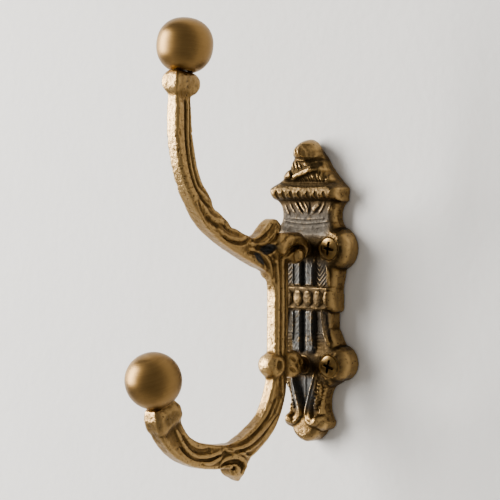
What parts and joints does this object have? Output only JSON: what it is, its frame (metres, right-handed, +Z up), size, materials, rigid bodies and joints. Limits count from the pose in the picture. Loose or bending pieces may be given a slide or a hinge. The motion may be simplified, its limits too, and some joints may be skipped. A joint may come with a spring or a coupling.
{
  "type": "wall coat hook",
  "caption": "Ornate antiqued cast-brass wall hook for hats and coats: a screwed relief backplate carries a high peg and a low hook, each tipped with a turned ball.",
  "frame": {"origin": "centre of the four wall-screw positions, on the backplate's back face, which is the wall plane", "axes": "+Y into the wall, so the hook stands out towards -Y; +Z up; +X to the right of someone facing the hook"},
  "size_m": [0.039, 0.1171, 0.1578],
  "materials": {
    "antique_brass": "cast and relieved antique patina, satin",
    "satin_brass": "turned, fine circular brush lines",
    "screw_brass": "polished",
    "plated_steel": "zinc plated"
  },
  "bodies": {
    "root": {"backplate": "antique_brass", "hook_arm": "antique_brass", "upper_ball": "satin_brass", "lower_ball": "satin_brass", "upper_ball_stud": "plated_steel", "lower_ball_stud": "plated_steel", "arm_bolt_upper": "plated_steel", "arm_bolt_lower": "plated_steel", "spring_washer_upper": "plated_steel", "spring_washer_lower": "plated_steel", "wall_screw_upper_left": "screw_brass", "wall_screw_upper_right": "screw_brass", "wall_screw_lower_left": "screw_brass", "wall_screw_lower_right": "screw_brass"}
  },
  "joints": []
}
